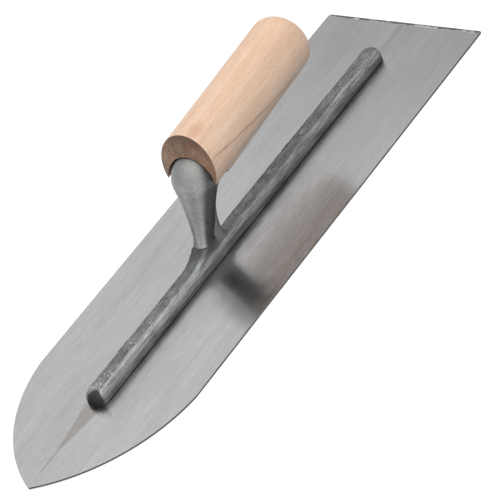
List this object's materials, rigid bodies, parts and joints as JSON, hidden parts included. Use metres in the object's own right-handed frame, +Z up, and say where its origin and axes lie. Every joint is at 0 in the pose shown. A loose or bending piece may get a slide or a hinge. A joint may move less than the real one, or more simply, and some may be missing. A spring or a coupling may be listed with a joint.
{
  "type": "flooring trowel",
  "caption": "Pointed flooring trowel: a long thin blade with a curved point, a cast rib riveted along it, and a plain round wooden handle on a horn.",
  "frame": {"origin": "centre of the blade's working face, which is also the bottom centre of the bounding box", "axes": "+Z up out of the working face towards the handle; +Y along the blade from its point towards its heel; +X across the blade"},
  "size_m": [0.1142, 0.4064, 0.0864],
  "materials": {
    "blade": "satin, ground lengthwise",
    "mounting": "rough cast along the rib, linished on the horn",
    "tang": "plain drawn bar",
    "handle": "bare turned hardwood, smooth sanded",
    "rivets": "set and ground flush"
  },
  "bodies": {
    "root": {"blade": "blade", "mounting": "mounting", "tang": "tang", "handle": "handle", "rivet_1": "rivets", "rivet_2": "rivets", "rivet_3": "rivets", "rivet_4": "rivets", "rivet_5": "rivets", "rivet_6": "rivets", "rivet_7": "rivets", "rivet_8": "rivets", "rivet_9": "rivets"}
  },
  "joints": []
}
